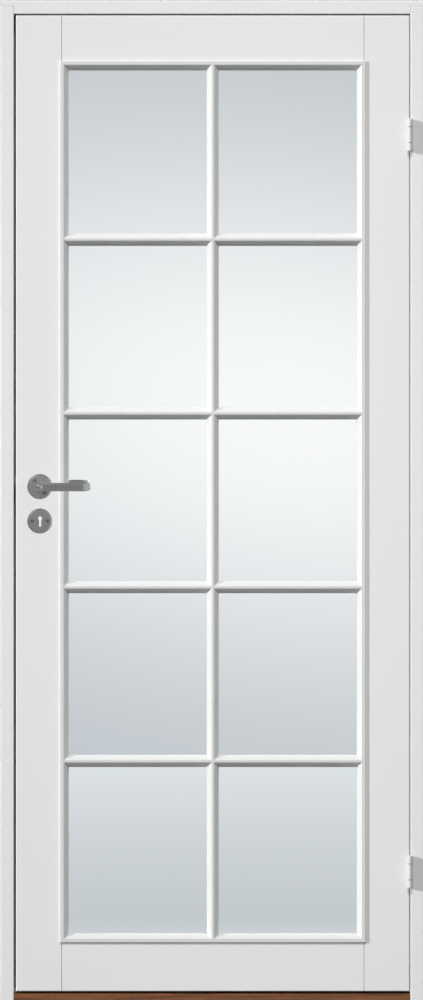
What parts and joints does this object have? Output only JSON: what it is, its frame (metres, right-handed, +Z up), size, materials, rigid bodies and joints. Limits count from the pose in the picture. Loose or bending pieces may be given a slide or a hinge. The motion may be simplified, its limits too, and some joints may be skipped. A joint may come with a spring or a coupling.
{
  "type": "glazed interior door with frame",
  "caption": "White painted solid wood door with a grid of glass panes, hung on hinges in its rebated frame, with lever handles, mortise lock and oak threshold.",
  "frame": {"origin": "on the floor, in the middle of the frame's width and depth", "axes": "+Z up, +X to the hinge side seen from the pull side, +Y from the pull side into the doorway"},
  "size_m": [0.885, 0.15, 2.09],
  "materials": {
    "painted_frame_pine": "white satin paint on pine",
    "painted_leaf_pine": "white satin paint on pine",
    "painted_moulding_pine": "white satin paint on pine",
    "oiled_oak": "oiled oak",
    "beech": "planed beech",
    "clear_glass": "clear toughened glass",
    "black_seal": "soft black strip",
    "block_plastic": "moulded",
    "white_hinge_steel": "white powder coat",
    "satin_stainless": "satin brushed",
    "zinc_steel": "zinc plated",
    "nickel_bolt": "nickel plated"
  },
  "bodies": {
    "frame": {"lock_jamb": "painted_frame_pine", "hinge_jamb": "painted_frame_pine", "head": "painted_frame_pine", "threshold": "oiled_oak", "lock_side_seal": "black_seal", "hinge_side_seal": "black_seal", "head_seal": "black_seal", "frame_screws": "zinc_steel", "strike_plate": "zinc_steel", "strike_screws": "zinc_steel", "hinge_frame_screws": "zinc_steel", "upper_hinge_frame_leaf": "white_hinge_steel", "lower_hinge_frame_leaf": "white_hinge_steel", "upper_hinge_pin": "white_hinge_steel", "lower_hinge_pin": "white_hinge_steel"},
    "leaf": {"lock_stile": "painted_leaf_pine", "hinge_stile": "painted_leaf_pine", "top_rail": "painted_leaf_pine", "bottom_rail": "painted_leaf_pine", "rail_dowels": "beech", "glass": "clear_glass", "setting_blocks": "block_plastic", "hinge_door_screws": "zinc_steel", "lock_case": "zinc_steel", "lock_cover": "zinc_steel", "lock_faceplate": "zinc_steel", "faceplate_screws": "zinc_steel", "latch_spring": "zinc_steel", "rose_screws": "satin_stainless", "upper_hinge_door_leaf": "white_hinge_steel", "lower_hinge_door_leaf": "white_hinge_steel", "front_rose": "satin_stainless", "back_rose": "satin_stainless", "front_escutcheon": "satin_stainless", "back_escutcheon": "satin_stainless", "front_moulding_top": "painted_moulding_pine", "front_moulding_bottom": "painted_moulding_pine", "front_moulding_left": "painted_moulding_pine", "front_moulding_right": "painted_moulding_pine", "back_moulding_top": "painted_moulding_pine", "back_moulding_bottom": "painted_moulding_pine", "back_moulding_left": "painted_moulding_pine", "back_moulding_right": "painted_moulding_pine", "front_upright_bar": "painted_moulding_pine", "back_upright_bar": "painted_moulding_pine", "front_cross_bar_1": "painted_moulding_pine", "front_cross_bar_2": "painted_moulding_pine", "front_cross_bar_3": "painted_moulding_pine", "front_cross_bar_4": "painted_moulding_pine", "back_cross_bar_1": "painted_moulding_pine", "back_cross_bar_2": "painted_moulding_pine", "back_cross_bar_3": "painted_moulding_pine", "back_cross_bar_4": "painted_moulding_pine"},
    "handle": {"front_lever": "satin_stainless", "back_lever": "satin_stainless", "spindle": "zinc_steel", "follower": "zinc_steel", "grub_screws": "zinc_steel"},
    "latch": {"latch_bolt": "nickel_bolt"},
    "deadbolt": {"deadbolt": "nickel_bolt"}
  },
  "joints": [
    {"name": "door_swing", "type": "hinge", "parent": "frame", "child": "leaf", "pos_m": [0.41375, -0.0522, 1.039], "axis": [0, 0, 1], "range_deg": [0, 170]},
    {"name": "lever_turn", "type": "hinge", "parent": "leaf", "child": "handle", "pos_m": [-0.36, -0.026, 1.074], "axis": [0, 1, 0], "range_deg": [0, 45], "stiffness_Nm_per_rad": 1.2, "springref_deg": -20.05},
    {"name": "latch_slide", "type": "slide", "parent": "leaf", "child": "latch", "axis": [1, 0, 0], "range_m": [0, 0.012], "deforming": ["latch_spring"]},
    {"name": "deadbolt_throw", "type": "slide", "parent": "leaf", "child": "deadbolt", "axis": [-1, 0, 0], "range_m": [0, 0.014]}
  ],
  "couplings": [
    {"joint": "latch_slide", "follows": "lever_turn", "m_per_rad": 0.01527}
  ]
}
